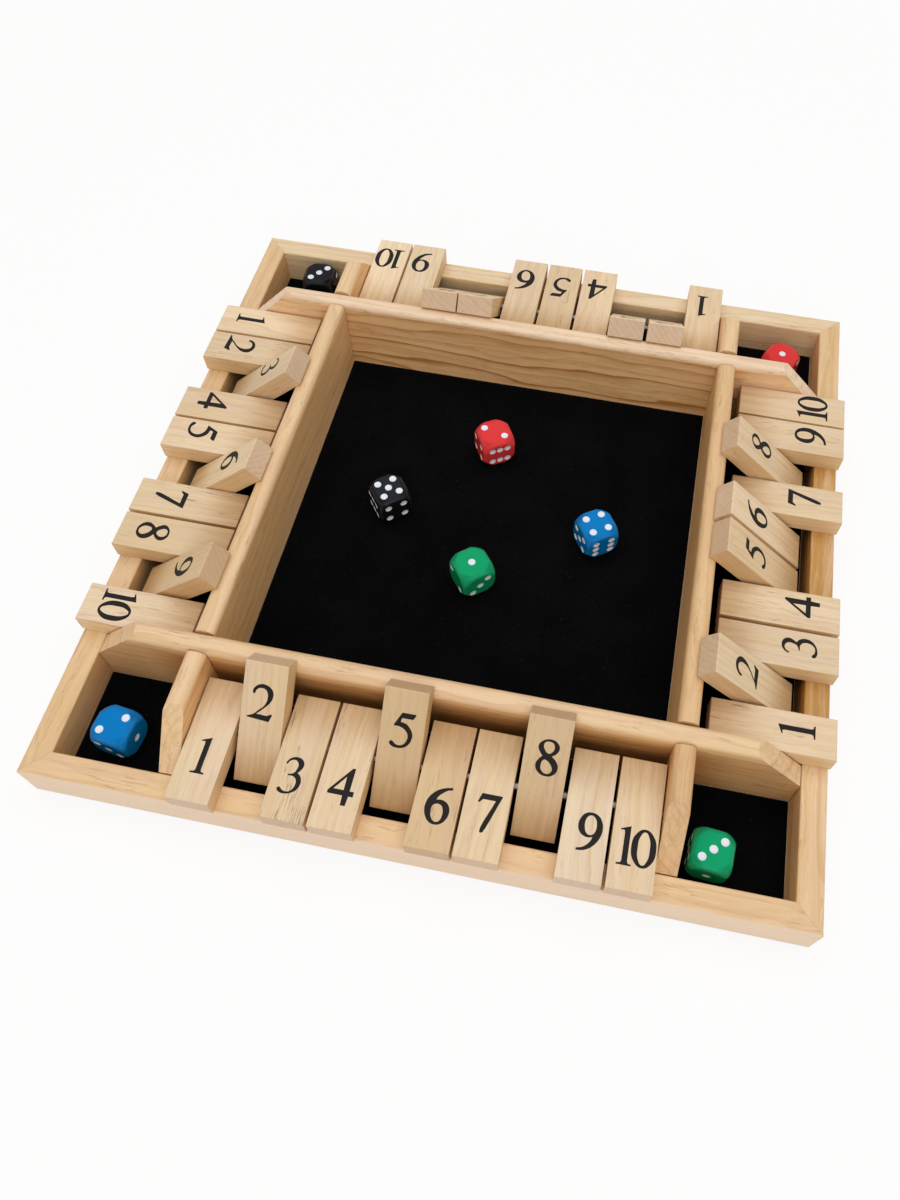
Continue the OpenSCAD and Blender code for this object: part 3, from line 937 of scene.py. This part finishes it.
def felt_sheet(low, high):
    """A closed sheet: its top, its upright edges and one flat face below."""
    built = bmesh.new()
    grid = felt_top(built, low, high)
    for near, far in zip(grid, grid[1:]):
        for i in range(len(near) - 1):
            built.faces.new((near[i], near[i + 1], far[i + 1], far[i]))
    rim = grid[0][:-1] + [line[-1] for line in grid[:-1]]
    rim += grid[-1][:0:-1] + [line[0] for line in grid[:0:-1]]
    lower = [built.verts.new((v.co.x, v.co.y, low.z)) for v in rim]
    for k, vertex in enumerate(rim):
        after = (k + 1) % len(rim)
        built.faces.new((vertex, lower[k], lower[after], rim[after]))
    built.faces.new(lower[::-1])
    bmesh.ops.recalc_face_normals(built, faces=built.faces)
    for face in built.faces:
        face.smooth = len(face.verts) == 4
    mesh = bpy.data.meshes.new("felt")
    built.to_mesh(mesh)
    built.free()
    return mesh


def lay_felt(material):
    boxes = islands(frame["nodes"]["felt_lining"].data)
    for k, (low, high) in enumerate(boxes):
        piece = add_piece(f"felt_sheet_{k + 1}", felt_sheet(low, high), "frame", material)
        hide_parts("felt_lining")


# Dress the CAD nodes

# How light each rail's and wall's wood is, in the order of the sides
RAIL_SHADES = [0.97, 0.99, 1.04, 0.97]
WALL_SHADES = [1.02, 0.90, 1.05, 1.0]
# The height of the walls' and dividers' own frames, from which their grain is measured
WALL_GRAIN_Z = 20.0
# Seeds of the random draws. Each side's rail and wall, and each tile, counts on from these.
RAIL_SEED = 11
WALL_SEED = 31
DIVIDER_SEED = 47
PANEL_SEED = 53
TILE_SEED = 100


def paint(node, material):
    for part in frame["nodes"][node].material_slots:
        part.material = material


def dress_frame():
    for row, side in enumerate(SIDES):
        # A rail's grain runs along it: along X at the front and back, along Y at the sides
        turn = (0, 0, QUARTER * (row + 1))
        outside = tuple(Matrix.Rotation(QUARTER * row, 3, "Z") @ Vector((0, -1, 0)))
        place = middle_of(side + "_rail")
        look = {"right": STREAKED_PINE_LOOK, "back": PALE_PINE_LOOK}.get(side, PINE_LOOK)
        # The rails' faces on the outside of the frame get painted light
        paint(side + "_rail", wood(side + "_rail_pine", look, place, turn, RAIL_SEED + row,
                                   shade=RAIL_SHADES[row], sapwood_and_painted_light=outside))
        place = middle_of(side + "_wall")
        place.z = WALL_GRAIN_Z * MM
        look = BOLD_PINE_LOOK if side == "back" else PINE_LOOK
        # The walls' faces towards the tiles get painted shade
        paint(side + "_wall", wood(side + "_wall_pine", look, place, turn, WALL_SEED + row,
                                   shade=WALL_SHADES[row], painted_recess_shade=outside))
    paint("row_dividers", wood("divider_pine", DIVIDER_LOOK, (0, 0, WALL_GRAIN_Z * MM),
                               (0, 0, 0), DIVIDER_SEED))
    paint("base_panel", wood("base_plywood", PLYWOOD_LOOK, (0, 0, 0), (0, 0, QUARTER),
                             PANEL_SEED))
    paint("pivot_rods", steel("drawn_steel"))


# How much lighter or darker than the others some tiles are, by row and number
SHADES = {(0, 1): 1.03, (0, 2): 0.96, (0, 3): 0.96, (0, 4): 0.98, (0, 5): 0.85, (0, 6): 0.84,
          (0, 7): 0.98, (0, 8): 0.88, (0, 9): 1.08, (1, 2): 1.01, (1, 4): 1.02, (1, 5): 0.90,
          (2, 1): 0.98, (2, 5): 0.91, (2, 9): 1.03, (2, 10): 1.08, (3, 1): 1.03, (3, 4): 0.95,
          (3, 8): 0.95, (3, 9): 0.87, (3, 10): 1.07}
# The tiles with more dark flecks than the others, and how many the others have
FLECKED = {(0, 3): 1.8, (0, 4): 1.3, (0, 6): 1.2, (0, 8): 1.0, (1, 1): 1.6, (1, 4): 1.1,
           (1, 9): 1.2, (2, 5): 1.1, (3, 2): 1.0, (3, 7): 1.5, (3, 10): 1.2}
FEW_FLECKS = 0.5


def dress_tiles():
    for row in range(len(SIDES)):
        for number in range(1, TILES_IN_ROW + 1):
            spot, turn = tile_place(row, number)
            name = tile_name(row, number)
            seed = TILE_SEED + TILES_IN_ROW * row + number
            flecks = FLECKED.get((row, number), FEW_FLECKS)
            shade = SHADES.get((row, number), 1.0)
            paint(name, wood(name + "_wood", TILE_LOOK, spot, turn, seed, flecks, shade))


RED = (0.80, 0.048, 0.050)
BLACK = (0.008, 0.008, 0.010)
BLUE = (0.002, 0.215, 0.60)
GREEN = (0.006, 0.37, 0.15)
# Each die's colour and its turn about Z, as in the CAD model
DICE = {
    "red_die_in_tray": (RED, 31),
    "black_die_in_tray": (BLACK, 38),
    "blue_die_in_tray": (BLUE, 33.5),
    "green_die_in_tray": (GREEN, 39),
    "red_die_in_box": (RED, -25),
    "black_die_in_box": (BLACK, 4.8),
    "blue_die_in_box": (BLUE, -7.2),
    "green_die_in_box": (GREEN, -4.8),
}


def dress_dice():
    for name, (colour, yaw) in DICE.items():
        paint(name, die_plastic(name + "_plastic", colour, middle_of(name), math.radians(yaw)))


# Floor, light and camera

# The floor's width and how far it lies under the object, in metres, and the colour of the
# light that it throws back on the object
FLOOR_WIDTH = 30
FLOOR_UNDER = 0.0002
FLOOR_COLOUR = (0.95, 0.95, 0.95)
# How much of the floor's look takes shadow, and from where to where that fades, in metres
SHADOW_SHARE = 0.18
SHADOW_FADES = (0.35, 1.2)
# The light from all around is warm, so that shaded wood stays warm
FILL_COLOUR = (1.0, 0.90, 0.75)
FILL_STRENGTH = 0.44
LAMP_COLOUR = (0.96, 1.0, 1.09)
# Each lamp's place and width in metres and its watts. All shine at the middle of the board.
LAMPS = {
    "key": ((0.25, -1.4, 0.88), 1.1, 4.9),
    "top": ((0.03, 0.14, 1.5), 2.0, 16.5),
}


def lay_floor():
    """A white table top. The camera sees it white, and it keeps the object's shadow nearby."""
    bpy.ops.mesh.primitive_plane_add(size=FLOOR_WIDTH, location=(0, 0, -FLOOR_UNDER))
    floor = bpy.context.active_object
    floor.name = "floor"
    s = new_shader("white_table")
    distance = s.vector_math("LENGTH", s.node("TexCoord").outputs["Object"])
    plain = s.scaled(s.between(distance, *SHADOW_FADES), SHADOW_SHARE, 1 - SHADOW_SHARE)
    diffuse = s.node("BsdfDiffuse", {"Color": FLOOR_COLOUR})
    white = s.node("Emission", {"Color": WHITE, "Strength": 1.0})
    both = s.node("MixShader", {0: s.times(s.looked_at(), plain), 1: diffuse.outputs[0],
                                2: white.outputs[0]})
    floor.data.materials.append(s.finish(both))


def soft_box(name, place, width, watts):
    lamp = bpy.data.lights.new(name, "AREA")
    lamp.shape = "SQUARE"
    lamp.color = LAMP_COLOUR
    lamp.size = width
    lamp.energy = watts
    holder = bpy.data.objects.new(name, lamp)
    bpy.context.scene.collection.objects.link(holder)
    holder.location = place
    holder.rotation_euler = (-Vector(place)).to_track_quat("-Z", "Y").to_euler()


def light_scene():
    """Soft lamps and a fill that lights from all around. What is seen of the world is white."""
    s = Shader(bpy.data.worlds.new("studio"))
    fill = s.node("Background", {"Color": FILL_COLOUR, "Strength": FILL_STRENGTH})
    white = s.node("Background", {"Color": WHITE, "Strength": 1.0})
    pick = s.node("MixShader", {0: s.looked_at(), 1: fill.outputs[0], 2: white.outputs[0]})
    bpy.context.scene.world = s.finish(pick, "OutputWorld")
    for name, (place, width, watts) in LAMPS.items():
        soft_box(name, place, width, watts)


def set_camera():
    data = bpy.data.cameras.new("camera")
    data.sensor_width = CAMERA_SENSOR
    data.lens = CAMERA_LENS
    data.shift_x, data.shift_y = CAMERA_SHIFT
    data.clip_start = CAMERA_NEAREST
    camera = bpy.data.objects.new("camera", data)
    bpy.context.scene.collection.objects.link(camera)
    camera.location = CAMERA_PLACE
    camera.rotation_euler = [math.radians(angle) for angle in CAMERA_TURN]
    bpy.context.scene.camera = camera


dress_frame()
dress_tiles()
dress_dice()
lay_felt(felt("black_felt"))
print_numbers(ink("number_ink"))
lay_floor()
light_scene()
set_camera()
bpy.context.scene.view_settings.view_transform = "Standard"
